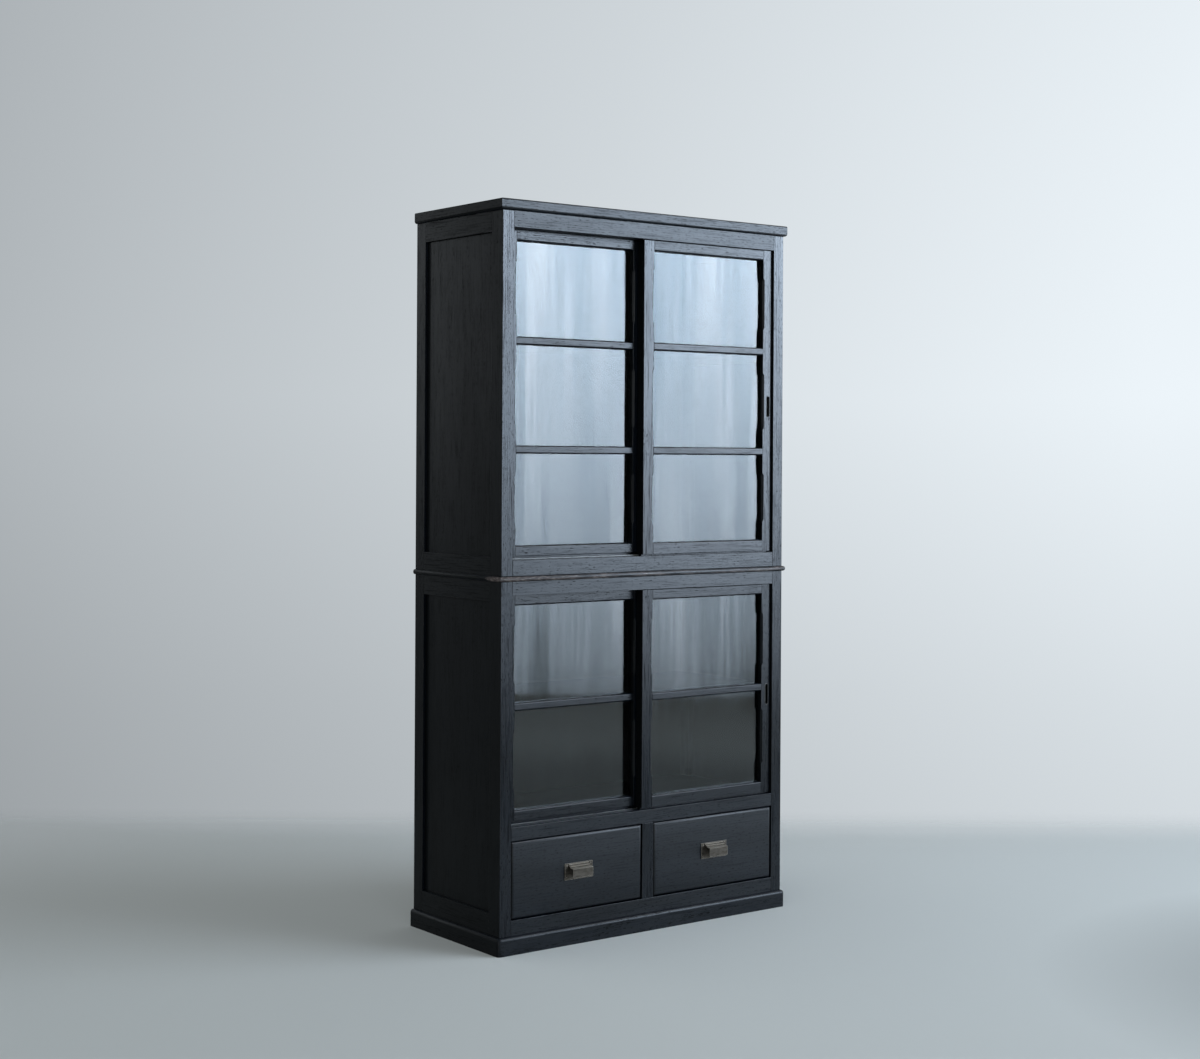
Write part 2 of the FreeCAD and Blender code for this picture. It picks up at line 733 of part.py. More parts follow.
def upperCase():
    foot, head, sill, lintel = "upperFoot", "upperHead", "upperSill", "upperLintel"
    topBoard("cornice_board", "corniceReach", (head, f"{head} + corniceThick"),
             "corniceTopRadius", "corniceUnderRadius")
    headRail = trackRail("upper_head_rail", (lintel, head), (lintel, f"{lintel} + headGroove"))
    sillRail = trackRail("upper_sill_rail", (foot, sill), (f"{sill} - sillGroove", sill))
    panels, sideRails = sidePieces("upper", foot, head, "upperSideFootRail", "upperSideHeadRail")
    boards = backBoards("upper", foot, head)
    posts("upper", foot, head, [headRail, sillRail], sideRails, panels, boards)
    innerBoard("upper_floor_board", "railInside", ("trackBack", "boardFront"),
               (f"{sill} - floorThick", sill), [backCorner])
    shelves = [shelfSpan(pane) for pane in paneSpans(sill, lintel, upperDrops)[:-1]]
    keep(grouped("upper_shelves", [shelf(f"upper_shelf_{index + 1}", span)
                                   for index, span in enumerate(shelves)]))
    cleats("upper_shelf_cleats", [span[0] for span in shelves])
    for hand in ("left", "right"):
        door("upper", hand, sill, lintel, upperDrops, "upperRecessHeight")


def lowerFront():
    # The rails across the front of the lower case and the upright between the drawers.
    foot, head, sill, lintel = "lowerFoot", "lowerHead", "lowerSill", "lowerLintel"
    divider = keep(joined("drawer_divider", [
        block("drawer_divider_bar", both("dividerWidth / 2"), ("front", "footRailBack"),
              ("drawerFloor", "drawerCeiling")),
        block("drawer_divider_tenon", both("dividerWidth / 2 - tenonShoulder"),
              ("front + (footRailThick - sideTenonThick) / 2",
               "front + (footRailThick + sideTenonThick) / 2"),
              ("drawerFloor - sideTenonLength", "drawerCeiling + sideTenonLength"))]))
    headRail = trackRail("lower_head_rail", (lintel, head), (lintel, f"{lintel} + headGroove"))
    sillRail = trackRail("lower_sill_rail", ("drawerCeiling", sill),
                         (f"{sill} - sillGroove", sill), [divider])
    footRail = frontRail("lower_foot", "footRailThick", (foot, "drawerFloor"))
    return [headRail, sillRail, keep(cut("lower_foot_rail", footRail, [divider]))]


def lowerCase():
    foot, head, sill, lintel = "lowerFoot", "lowerHead", "lowerSill", "lowerLintel"
    topBoard("waist_board", "waistReach", (head, "upperFoot"), "waistRadius", "waistRadius")
    frontRails = lowerFront()
    panels, sideRails = sidePieces("lower", foot, head, "lowerSideFootRail", "lowerSideHeadRail")
    boards = backBoards("lower", foot, head)
    posts("lower", foot, head, frontRails, sideRails, panels, boards)
    floorFoot = f"{sill} - floorThick"
    innerBoard("lower_floor_board", "panelInside", ("trackBack", "boardFront"), (floorFoot, sill),
               [backCorner])
    shelfZ = shelfSpan(paneSpans(sill, lintel, lowerDrops)[0])
    keep(shelf("lower_shelf", shelfZ))
    cleats("lower_shelf_cleats", [shelfZ[0], floorFoot])
    for hand in ("left", "right"):
        door("lower", hand, sill, lintel, lowerDrops, "lowerRecessHeight")


def drawerBed():
    # The board that the drawers slide on, and the strips that keep them straight.
    innerBoard("drawer_bed_board", "railInside", ("footRailBack", "boardFront"),
               ("drawerFloor - floorThick", "drawerFloor"),
               [backCorner, ("front", ("footRailBack - overrun", "trackBack"))])
    z = ("drawerFloor", "drawerFloor + guideHeight")
    sideGuide = block("side_guide", ("jamb", "railInside"), ("trackBack", "backPostFront"), z)
    middleGuide = block("middle_guide", both("dividerWidth / 2"), ("footRailBack", "boardFront"), z)
    keep(grouped("drawer_guides", [middleGuide, paired("side_guides", sideGuide)]))


backCorner = ("back", ("backPostFront", "back + overrun"))
upperDrops = ["upperTopPane", "upperMiddlePane"]
lowerDrops = ["lowerTopPane"]
upperCase()
lowerCase()
drawerBed()
plinth()
for hand in ("left", "right"):
    drawer(hand)

document.recompute()
for item in document.Objects:
    if "Invalid" in item.State or "Error" in item.State:
        raise RuntimeError(f"{item.Label} failed: {item.State}")
for label, piece in subparts.items():
    if piece.Shape.isNull() or not piece.Shape.isValid() or not piece.Shape.Solids:
        raise RuntimeError(f"{label} has no valid solid")

os.makedirs("parts", exist_ok=True)
for label, piece in subparts.items():
    piece.Shape.exportStep(f"parts/{label}.step")
    print(label, len(piece.Shape.Solids), round(piece.Shape.Volume))
print(len(subparts), "sub-parts")
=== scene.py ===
# Looks for a two-tier kitchen cabinet of ebonised chestnut with sliding glazed doors and two drawers.
# Lengths are in metres: X runs to the right, Y to the back, Z up, and the origin is on the floor.
import bpy
import math
import numpy
from functools import partial
from mathutils import Matrix, Vector


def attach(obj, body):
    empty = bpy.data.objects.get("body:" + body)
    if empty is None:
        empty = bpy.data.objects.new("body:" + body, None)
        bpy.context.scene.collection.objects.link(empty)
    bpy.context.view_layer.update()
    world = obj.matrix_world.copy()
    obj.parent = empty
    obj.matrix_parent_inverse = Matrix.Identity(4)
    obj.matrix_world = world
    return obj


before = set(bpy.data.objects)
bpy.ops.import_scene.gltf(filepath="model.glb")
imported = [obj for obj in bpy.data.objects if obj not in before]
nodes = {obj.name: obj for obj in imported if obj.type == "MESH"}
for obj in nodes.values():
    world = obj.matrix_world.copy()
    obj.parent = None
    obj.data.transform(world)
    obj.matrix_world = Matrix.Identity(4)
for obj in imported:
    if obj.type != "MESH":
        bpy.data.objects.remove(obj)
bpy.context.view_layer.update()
scene = bpy.context.scene
scene.view_settings.view_transform = "Standard"

# the lowest and the highest corner of every node, before its edges are rounded
boxes = {name: (numpy.min(piece.bound_box, axis=0).tolist(), numpy.max(piece.bound_box, axis=0).tolist())
         for name, piece in nodes.items()}


def linear(hexColour):
    # sRGB as it is written, turned to the linear values that sockets take
    parts = [int(hexColour[i:i + 2], 16) / 255 for i in (1, 3, 5)]
    return [p / 12.92 if p <= 0.04045 else ((p + 0.055) / 1.055) ** 2.4 for p in parts] + [1]


def add(tree, kind, inputs=(), out=0, **settings):
    # one node with its settings and links: a list fills its inputs in order, a dictionary by name
    node = tree.nodes.new("ShaderNode" + kind)
    for name, value in settings.items():
        setattr(node, name, value)
    for key, value in inputs.items() if isinstance(inputs, dict) else enumerate(inputs):
        if isinstance(value, bpy.types.NodeSocket):
            tree.links.new(value, node.inputs[key])
        else:
            node.inputs[key].default_value = value
    return node.outputs[out] if node.outputs else node


# A Mix node of colours takes its share at input 0 and its colours at 6 and 7, one of directions at 4 and 5.
blend = {"out": 2, "data_type": "RGBA"}


def newMaterial(name):
    made = bpy.data.materials.new(name)
    made.use_nodes = True
    made.node_tree.nodes.clear()
    return made, partial(add, made.node_tree)


grainOrders = {"x": (2, 1, 0), "y": (2, 0, 1), "z": (0, 1, 2)}     # two ways across, and the one along
millimetres = (1000, 1000, 1000)
mitreWidth = 0.05                                # how wide the side parts of a mitred board are


def grainPlace(make, along, mitred=None):
    # Object place in millimetres as (across, across, along the grain). A mitred board has its half width
    # and its front in mitred, and its grain turns the corner where the way in from its side is shorter
    # than the way in from its front.
    place = make("TexCoord", out="Object")
    axes = make("SeparateXYZ", [place], out=slice(0, 3))
    grain = make("CombineXYZ", [axes[k] for k in grainOrders[along]])
    if mitred:
        halfWidth, front = mitred
        offMiddle = make("Math", [axes[0]], operation="ABSOLUTE")
        fromSide = make("Math", [halfWidth, offMiddle], operation="SUBTRACT")
        behindFront = make("Math", [axes[1], front], operation="SUBTRACT")
        fromFront = make("Math", [behindFront, mitreWidth], operation="MINIMUM")
        turned = make("Math", [fromSide, fromFront], operation="LESS_THAN")
        sideGrain = make("CombineXYZ", [axes[k] for k in grainOrders["y"]])
        grain = make("Mix", {0: turned, 4: grain, 5: sideGrain}, out=1, data_type="VECTOR")
    return make("VectorMath", [grain, millimetres], operation="MULTIPLY"), axes


def figure(make, grain, across, along, detail, coarse, seed):
    # noise stretched along the grain, its cells across by along millimetres
    scaled = make("VectorMath", [grain, (1 / across, 1 / across, 1 / along)], operation="MULTIPLY")
    moved = make("VectorMath", [scaled, (seed, seed * 0.7, seed * 1.3)], operation="ADD")
    return make("TexNoise", {"Vector": moved, "Scale": 1.0, "Detail": detail, "Roughness": coarse})


def bentEdge(make, reach, low, high):
    # 1 where the surface turns within reach of the point, and 0 on flat faces
    soft = make("Bevel", {"Radius": reach}, samples=4)
    flat = make("NewGeometry", out="Normal")
    likeness = make("VectorMath", [soft, flat], out="Value", operation="DOT_PRODUCT")
    return make("MapRange", [likeness, high, low, 0.0, 1.0])


# A pattern gives millimetres across and along the grain, detail, coarseness and seed. A span gives the
# level of its pattern or place where something starts, and the level where it is full.
chestnut = {
    "warp": (60, 700, 2, 0.4, 3.1),              # bends of the rings
    "pores": (1.7, 12, 2, 0.6, 0.0),             # drawn four times as wide as they are, so that they show
    "streaks": (3, 80, 3, 0.55, 5.7),            # bundles of pores
    "planing": (30, 260, 1, 0.4, 8.3),           # shallow waves that the hand plane left
    "stain": (75, 420, 3, 0.5, 11.3),            # uneven stain and wax
    "rubbing": (10, 70, 5, 0.65, 17.0),          # patches where an edge is rubbed
    "handling": (14, 110, 5, 0.62, 23.0),        # patches where the nosing is rubbed
    "flattening": (1, 0.45, 0.01),               # of the rings, which go round the origin
    "ringWidth": 6.0,                            # spring wood comes round every 6 mm
    "ringBends": 5.0,                            # how many rings wide the warp's bends are at most
    "springShare": 0.42,                         # of each ring
    "poreLimits": (0.60, 0.50),                  # level where pores open, in late and in spring wood
    "poreContrast": 10.0,
    "lineSpan": (0.52, 0.68),                    # of the streaks, for open lines
    "paleSpan": (0.36, 0.64),                    # of streaks and stain together, from deep to pale
    "brownSpan": (0.52, 0.70),                   # of the stain, for brown patches
    "sideSpan": (0.35, 0.85),                    # of the normal's sideways part
    "sideShare": 0.8,                            # how far a side takes its own colour; on the waxed looks this darker, greener colour is painted shade
    "wearReach": 0.0018,                         # how far in from an edge the stain rubs off
    "wearBend": (0.86, 0.985),                   # how alike normals are where it is worn most, and least
    "wearSpan": (0.50, 0.64),                    # of the rubbing
    "bareSpan": (0.50, 0.68),                    # of the pores, from rubbed to bare wood
    "waxSpan": (0.32, 0.68),                     # of the stain
    "sideSheenDepths": (-0.15, 0.15),                  # from front to back, for the sides' wax, which is painted rising to the back as a reflection
    "sideSheenDepthShares": (0.8, 1.6),
    "paintedSheenWidths": (-0.45, 0.45),                  # from left to right, where the sheen is painted stronger to the right
    "underShadeSpan": (-0.8, -0.3, 0.35, 1.0),         # upward part of the normal, and the share of sheen it keeps: less on faces turned down, as painted shade
    "springDent": -0.25,                         # relief of spring wood, of open wood and of the planing
    "poreDent": -1.0,
    "planeRise": 0.9,
    "reliefDepth": 0.0002,
    "woodIndex": 1.5, "woodShine": 0.05, "waxIndex": 1.6,
}
# The nosing is rubbed where it stands proud of the posts, and at the sides only near the front. leftMost
# says between which places, from left to right, the rubbing gets less, and what it adds there.
nosing = {"proudSpan": (0.002, 0.0046), "patchSpan": (0.45, 0.60), "leftMost": (-0.47, 0.30, 0.15, -0.06),
          "fadeBehind": (0.03, 0.10), "fadeDepth": 0.01}


def openWood(make, grain, streak, fine, lines):
    # Returns how open the wood is, in pores and lines, and how much it is spring wood. The rings are
    # flattened circles round the origin. Most boards are far from it, so they cross them nearly straight.
    warp = figure(make, grain, *chestnut["warp"])
    flattened = make("VectorMath", [grain, chestnut["flattening"]], operation="MULTIPLY")
    fromHeart = make("VectorMath", [flattened], out="Value", operation="LENGTH")
    ringCount = make("Math", [fromHeart, chestnut["ringWidth"]], operation="DIVIDE")
    wandering = make("Math", [warp, chestnut["ringBends"], ringCount], operation="MULTIPLY_ADD")
    season = make("Math", [wandering], operation="FRACT")
    spring = make("MapRange", [season, 0.0, chestnut["springShare"], 1.0, 0.0])
    poreLimit = make("MapRange", [spring, 0.0, 1.0, *chestnut["poreLimits"]])
    overLimit = make("Math", [fine, poreLimit], operation="SUBTRACT")
    pores = make("Math", [overLimit, chestnut["poreContrast"]], operation="MULTIPLY", use_clamp=True)
    openLines = make("MapRange", [streak, *chestnut["lineSpan"], 0.0, lines])
    return make("Math", [pores, openLines], operation="MAXIMUM"), spring


def stainedColour(make, look, streak, stain, openShare, sideways):
    both = make("Math", [streak, stain], operation="ADD")
    tone = make("Math", [both, 0.5], operation="MULTIPLY")
    paleness = make("MapRange", [tone, *chestnut["paleSpan"]])
    colour = make("Mix", {0: paleness, 6: linear(look["deep"]), 7: linear(look["pale"])}, **blend)
    brownness = make("MapRange", [stain, *chestnut["brownSpan"], 0.0, look["brownShare"]])
    colour = make("Mix", {0: brownness, 6: colour, 7: linear(look["brown"])}, **blend)
    colour = make("Mix", {0: openShare, 6: colour, 7: linear(look["pore"])}, **blend)
    # painted shade: sideways faces are mixed towards their own darker, greener colour on the waxed looks
    sideShare = make("Math", [sideways, chestnut["sideShare"]], operation="MULTIPLY")
    return make("Mix", {0: sideShare, 6: colour, 7: linear(look["side"])}, **blend)


def rubbedNose(make, grain, axes, posts):
    # The nose of the board between the cases is rubbed through where it stands proud of the posts, whose
    # half width and front are in posts. It is rubbed most at the left.
    halfWidth, front = posts
    fadeStart, fadeEnd = (front + way for way in nosing["fadeBehind"])
    sideReach = make("MapRange", [axes[1], fadeStart, fadeEnd, halfWidth, halfWidth + nosing["fadeDepth"]])
    offMiddle = make("Math", [axes[0]], operation="ABSOLUTE")
    pastSide = make("Math", [offMiddle, sideReach], operation="SUBTRACT")
    pastFront = make("Math", [front, axes[1]], operation="SUBTRACT")
    proud = make("Math", [pastSide, pastFront], operation="MAXIMUM")
    exposed = make("MapRange", [proud, *nosing["proudSpan"]])
    leftMost = make("MapRange", [axes[0], *nosing["leftMost"]])
    patches = make("Math", [figure(make, grain, *chestnut["handling"]), leftMost], operation="ADD")
    touched = make("MapRange", [patches, *nosing["patchSpan"]])
    return make("Math", [exposed, touched], operation="MULTIPLY", use_clamp=True)


def waxAndPaintedSheen(make, look, axes, stain, openShare, sideways, upward):
    # The wax lies between the pores and hardly at all on the sides. Its sheen is painted weaker low down and
    # to the left, weaker on faces turned down as painted shade, and on the sides rising to the back as a
    # painted reflection.
    film = make("MapRange", [stain, *chestnut["waxSpan"], *look["wax"]])
    unpored = make("Math", [openShare, -look["poreDry"], 1.0], operation="MULTIPLY_ADD")
    # painted reflection: on the sides the film grows from front to back
    depthShares = [share * look["sideWax"] for share in chestnut["sideSheenDepthShares"]]
    sideSheenByDepth = make("MapRange", [axes[1], *chestnut["sideSheenDepths"], *depthShares])
    aside = make("MapRange", [sideways, 0.0, 1.0, 1.0, sideSheenByDepth])
    # painted sheen: the film is made stronger higher up and to the right
    paintedSheenClimb = make("MapRange", [axes[2], *look["climb"]])
    paintedSheenToRight = make("MapRange", [axes[0], *chestnut["paintedSheenWidths"], *look["paintedSheenToRight"]])
    # painted shade: faces turned down keep less of the sheen
    under = make("MapRange", [upward, *chestnut["underShadeSpan"]])
    for share in (unpored, aside, paintedSheenClimb, paintedSheenToRight, under):
        film = make("Math", [film, share], operation="MULTIPLY")
    return film


def woodMaterial(name, along, look, gloss, mitred=None, posts=None):
    made, make = newMaterial(name)
    grain, axes = grainPlace(make, along, mitred)
    fine, streak, plane, stain, rubbing = (figure(make, grain, *chestnut[pattern])
                                           for pattern in ("pores", "streaks", "planing", "stain", "rubbing"))
    openShare, spring = openWood(make, grain, streak, fine, look["lines"])
    facing = make("SeparateXYZ", [make("NewGeometry", out="Normal")], out=slice(0, 3))
    sideways = make("MapRange", [make("Math", [facing[0]], operation="ABSOLUTE"), *chestnut["sideSpan"]])
    colour = stainedColour(make, look, streak, stain, openShare, sideways)

    edge = bentEdge(make, chestnut["wearReach"], *chestnut["wearBend"])
    patches = make("MapRange", [rubbing, *chestnut["wearSpan"], 0.0, look["wear"]])
    worn = make("Math", [edge, patches], operation="MULTIPLY")
    if posts:
        worn = make("Math", [worn, rubbedNose(make, grain, axes, posts)], operation="MAXIMUM")
    bareShare = make("MapRange", [fine, *chestnut["bareSpan"]])
    bare = make("Mix", {0: bareShare, 6: linear(look["rubbed"]), 7: linear(look["bare"])}, **blend)
    colour = make("Mix", {0: worn, 6: colour, 7: bare}, **blend)

    dents = make("Math", [spring, chestnut["springDent"]], operation="MULTIPLY")
    relief = make("Math", [openShare, chestnut["poreDent"], dents], operation="MULTIPLY_ADD")
    planed = make("Math", [plane, chestnut["planeRise"], relief], operation="MULTIPLY_ADD")
    normal = make("Bump", {"Strength": look["relief"], "Distance": chestnut["reliefDepth"], "Height": planed})
    film = waxAndPaintedSheen(make, look, axes, stain, openShare, sideways, facing[2])
    shader = make("BsdfPrincipled", {
        "Base Color": colour, "Roughness": make("MapRange", [openShare, 0.0, 1.0, *look["dry"]]),
        "IOR": chestnut["woodIndex"], "Specular IOR Level": chestnut["woodShine"], "Normal": normal,
        "Coat Weight": film, "Coat Roughness": gloss, "Coat IOR": chestnut["waxIndex"],
        "Coat Normal": normal})
    make("OutputMaterial", {"Surface": shader})
    return made


# Chestnut stained black with iron and thinly waxed: the pores stay open, and the planed wood between
# them takes a soft sheen, which is all the brightness that its near-black faces have. climb says from
# and to which height the painted sheen changes, and its shares there, and paintedSheenToRight its shares at
# left and right: the sheen is painted stronger higher up and to the right.
ebonised = {
    "deep": "#050a10", "pale": "#0b141e", "brown": "#14110e", "brownShare": 0.2, "pore": "#030304",
    "side": "#090b0b", "rubbed": "#3f3837", "bare": "#8f8580", "wear": 0.5,
    "wax": (0.62, 0.80), "sideWax": 0.17, "climb": (0.8, 1.4, 0.88, 1.36), "paintedSheenToRight": (0.86, 1.0),
    "poreDry": 0.8, "lines": 0.8, "dry": (0.55, 0.75), "relief": 0.25,
}
handled = dict(ebonised, wax=(0.70, 0.88), climb=(0.3, 0.9, 0.9, 1.08), lines=0.55, wear=0.3)
aroundDoors = dict(handled, wax=(0.76, 0.96), wear=0.12)
fronts = dict(handled, climb=(0.1, 0.26, 0.75, 1.15), lines=0.45, poreDry=0.45, relief=0.15)
waistLook = dict(handled, wear=0.9)
plinthLook = dict(handled, wax=(0.58, 0.72), wear=0.7)
# The same wood inside and behind, stained once and never waxed, so it is brown-black, dusty and dull.
unwaxed = {
    "deep": "#0b0a09", "pale": "#151311", "brown": "#1d1814", "brownShare": 0.6, "pore": "#060505",
    "side": "#110f0e", "rubbed": "#43392f", "bare": "#75675a", "wear": 0.2,
    "wax": (0.0, 0.12), "sideWax": 0.5, "climb": (0.0, 1.8, 1.0, 1.0), "paintedSheenToRight": (1.0, 1.0),
    "poreDry": 0.9, "lines": 0.8, "dry": (0.65, 0.8), "relief": 0.3,
}
# Pale where doors and dust have rubbed and greyed it; on the slips and beads the pale grey is also a painted
# highlight.
paleRubbedAndHighlit = dict(handled, deep="#585a5a", pale="#80827f", brownShare=0.0, rubbed="#6b625a", bare="#9a8f85",
                  wear=0.9)
# How rough the wax is: rougher where the grain doesn't run upright, and most on boards with hardly any.
gloss = {"upright": 0.17, "deep": 0.30, "across": 0.30, "aroundDoors": 0.27, "moulded": 0.32, "plinth": 0.28,
         "board": 0.40, "rubbed": 0.26}


pane = {
    "tint": "#e8f0ee",                           # faint green of iron in the sand
    "waves": (40, 500, 1, 0.4, 2.0),             # drawn sheet glass runs in long upright waves
    "waveDepth": 0.00025,
    "wiping": (22, 240, 3, 0.5, 8.0),
    "wipeSpan": (0.38, 0.66),
    "film": (0.02, 0.07),                        # roughness where it is wiped clean, and under a film
    "index": 1.52,
}


def glassMaterial():
    # Old drawn sheet glass: clear and faintly green, with upright waves that bend what it mirrors.
    made, make = newMaterial("old_sheet_glass")
    upright = grainPlace(make, "z")[0]
    wave = figure(make, upright, *pane["waves"])
    wiped = figure(make, upright, *pane["wiping"])
    normal = make("Bump", {"Strength": 1.0, "Distance": pane["waveDepth"], "Height": wave})
    rough = make("MapRange", [wiped, *pane["wipeSpan"], *pane["film"]])
    shader = make("BsdfPrincipled", {"Base Color": linear(pane["tint"]), "Roughness": rough,
                                     "IOR": pane["index"], "Transmission Weight": 1.0, "Normal": normal})
    make("OutputMaterial", {"Surface": shader})
    return made


casting = {
    "dark": "#4c463f", "brown": "#5f5951", "grey": "#5a5c58", "hollowPatinaAndShade": "#0c0b0a", "ridgeWearAndTopHighlight": "#c4bbad",
    "mottle": (6.0, 14.0, 3, 0.5, 1.0), "patinaSpan": (0.36, 0.62),
    "pits": (1.1, 1.1, 3, 0.6, 4.0), "dustSpan": (0.55, 0.75), "dustShare": 0.2,
    "hollowReach": 0.004, "hollowSpan": (0.45, 0.9), "hollowShare": 0.9,
    "upwardSpan": (0.3, 0.8), "ridgeReach": 0.0015, "ridgeBend": (0.8, 0.98), "ridgeShare": 0.85,
    "glossSpan": (0.34, 0.66), "gloss": (0.40, 0.50), "metal": 0.9, "pitStrength": 0.1, "pitDepth": 0.0002,
}


def pullMaterial():
    # Cast brass gone dull grey-brown: dark patina and painted shade in the hollows, rubbed paler along the
    # ridges, and a painted highlight on faces turned up.
    made, make = newMaterial("aged_cast_brass")
    place = grainPlace(make, "x")[0]
    mottle = figure(make, place, *casting["mottle"])
    pits = figure(make, place, *casting["pits"])
    patina = make("MapRange", [mottle, *casting["patinaSpan"]])
    colour = make("Mix", {0: patina, 6: linear(casting["dark"]), 7: linear(casting["brown"])}, **blend)
    dusty = make("MapRange", [pits, *casting["dustSpan"], 0.0, casting["dustShare"]])
    colour = make("Mix", {0: dusty, 6: colour, 7: linear(casting["grey"])}, **blend)
    # painted shade, partly patina: the hollows found by ambient occlusion are darkened nearly to black
    openness = make("AmbientOcclusion", {"Distance": casting["hollowReach"]}, out="AO", samples=8)
    hollowPatinaAndShade = make("MapRange", [openness, *casting["hollowSpan"], casting["hollowShare"], 0.0])
    colour = make("Mix", {0: hollowPatinaAndShade, 6: colour, 7: linear(casting["hollowPatinaAndShade"])}, **blend)
    # painted highlight: faces turned up are made pale as if lit from above, and worn ridges are rubbed pale
    # too
    upward = make("SeparateXYZ", [make("NewGeometry", out="Normal")], out=2)
    paintedTopHighlight = make("MapRange", [upward, *casting["upwardSpan"]])
    bent = bentEdge(make, casting["ridgeReach"], *casting["ridgeBend"])
    ridgeWearAndTopHighlight = make("Math", [bent, paintedTopHighlight], operation="MAXIMUM")
    rubbed = make("Math", [ridgeWearAndTopHighlight, casting["ridgeShare"]], operation="MULTIPLY")
    bright = make("Math", [rubbed, hollowPatinaAndShade], operation="SUBTRACT", use_clamp=True)
    colour = make("Mix", {0: bright, 6: colour, 7: linear(casting["ridgeWearAndTopHighlight"])}, **blend)
    rough = make("MapRange", [mottle, *casting["glossSpan"], *casting["gloss"]])
    normal = make("Bump", {"Strength": casting["pitStrength"], "Distance": casting["pitDepth"],
                           "Height": pits})
    shader = make("BsdfPrincipled", {"Base Color": colour, "Metallic": casting["metal"], "Roughness": rough,
                                     "Normal": normal})
    make("OutputMaterial", {"Surface": shader})
    return made


def outline(*names):
    # half width and front of some nodes together
    return max(boxes[name][1][0] for name in names), min(boxes[name][0][1] for name in names)


def each(owners, *kinds):
    return [f"{owner}_{kind}" for owner in owners for kind in kinds]


tiers = ["upper", "lower"]
doors = each(tiers, "left_door", "right_door")
drawers = ["left_drawer", "right_drawer"]
rounding = {"planed": 0.001, "sawn": 0.0003, "cast": 0.0004}
glass = glassMaterial()
brass = pullMaterial()
# each finish, how far its sharp edges are rounded, and the nodes that have it
finishes = [
    (woodMaterial("ebonised_chestnut_upright", "z", ebonised, gloss["upright"]), rounding["planed"],
     each(tiers, "front_posts", "back_posts", "side_panels") + each(doors, "pull_stile", "meeting_stile")
     + ["drawer_divider"]),
    (woodMaterial("ebonised_chestnut_across", "x", handled, gloss["across"]), rounding["planed"],
     ["upper_head_rail", "lower_sill_rail", "lower_foot_rail"]),
    (woodMaterial("ebonised_chestnut_around_doors", "x", aroundDoors, gloss["aroundDoors"]),
     rounding["planed"], ["upper_sill_rail", "lower_head_rail"] + each(doors, "rails", "muntins")),
    (woodMaterial("ebonised_chestnut_drawer", "x", fronts, gloss["across"]), rounding["planed"],
     each(drawers, "front")),
    (woodMaterial("ebonised_chestnut_deep", "y", ebonised, gloss["deep"]), rounding["planed"],
     each(tiers, "side_rails")),
    (woodMaterial("ebonised_chestnut_cornice", "x", handled, gloss["moulded"], outline("cornice_board")),
     rounding["planed"], ["cornice_board"]),
    (woodMaterial("ebonised_chestnut_waist", "x", waistLook, gloss["moulded"], outline("waist_board"),
                  outline("upper_front_posts")), rounding["planed"], ["waist_board"]),
    (woodMaterial("ebonised_chestnut_plinth", "x", plinthLook, gloss["plinth"],
                  outline("plinth_front_board", "plinth_side_and_back_boards")), rounding["planed"],
     ["plinth_front_board", "plinth_side_and_back_boards"]),
    (woodMaterial("unwaxed_chestnut_upright", "z", unwaxed, gloss["board"]), rounding["sawn"],
     each(tiers, "back_boards")),
    (woodMaterial("unwaxed_chestnut_across", "x", unwaxed, gloss["board"]), rounding["sawn"],
     each(tiers, "floor_board") + ["upper_shelves", "lower_shelf", "drawer_bed_board"]
     + each(drawers, "back", "bottom")),
    (woodMaterial("unwaxed_chestnut_deep", "y", unwaxed, gloss["board"]), rounding["sawn"],
     each(tiers, "shelf_cleats") + each(drawers, "sides") + ["drawer_guides"]),
    (glass, None, each(doors, "panes")),
    (brass, rounding["cast"], each(drawers, "pull")),
    (brass, None, each(drawers, "pull_pins")),
]
softening = {"weld": 0.00002, "sharp": math.radians(38), "segments": 2}


def soften(piece, radius):
    # joins the loose triangles and rounds only the sharp edges
    weld = piece.modifiers.new("weld", "WELD")
    weld.merge_threshold = softening["weld"]
    bevel = piece.modifiers.new("soft_edges", "BEVEL")
    bevel.width = radius
    bevel.segments = softening["segments"]
    bevel.limit_method = "ANGLE"
    bevel.angle_limit = softening["sharp"]
    bevel.harden_normals = True


for finish, radius, names in finishes:
    for name in names:
        nodes[name].material_slots[0].material = finish
        if radius:
            soften(nodes[name], radius)
print("finished nodes", sum(len(names) for finish, radius, names in finishes))


def addObject(name, data):
    piece = bpy.data.objects.new(name, data)
    scene.collection.objects.link(piece)
    return piece


def addMesh(name, places, faces, material):
    mesh = bpy.data.meshes.new(name)
    mesh.from_pydata(places, [], faces)
    mesh.materials.append(material)
    return addObject(name, mesh)


# A thin slip of wood stands between the two tracks of each sill, rubbed smooth by the doors. Its pale grey is
# partly rubbed wood and partly a painted highlight, so it draws a light line under the left-hand doors,
# where the front track lies open.
slip = {"thick": 0.0014, "roundness": 3.0, "sunk": 0.0025, "rises": {"upper": 0.0032, "lower": 0.0014},
        "stations": 80, "steps": 15, "sag": 0.0003, "waves": 9.0}


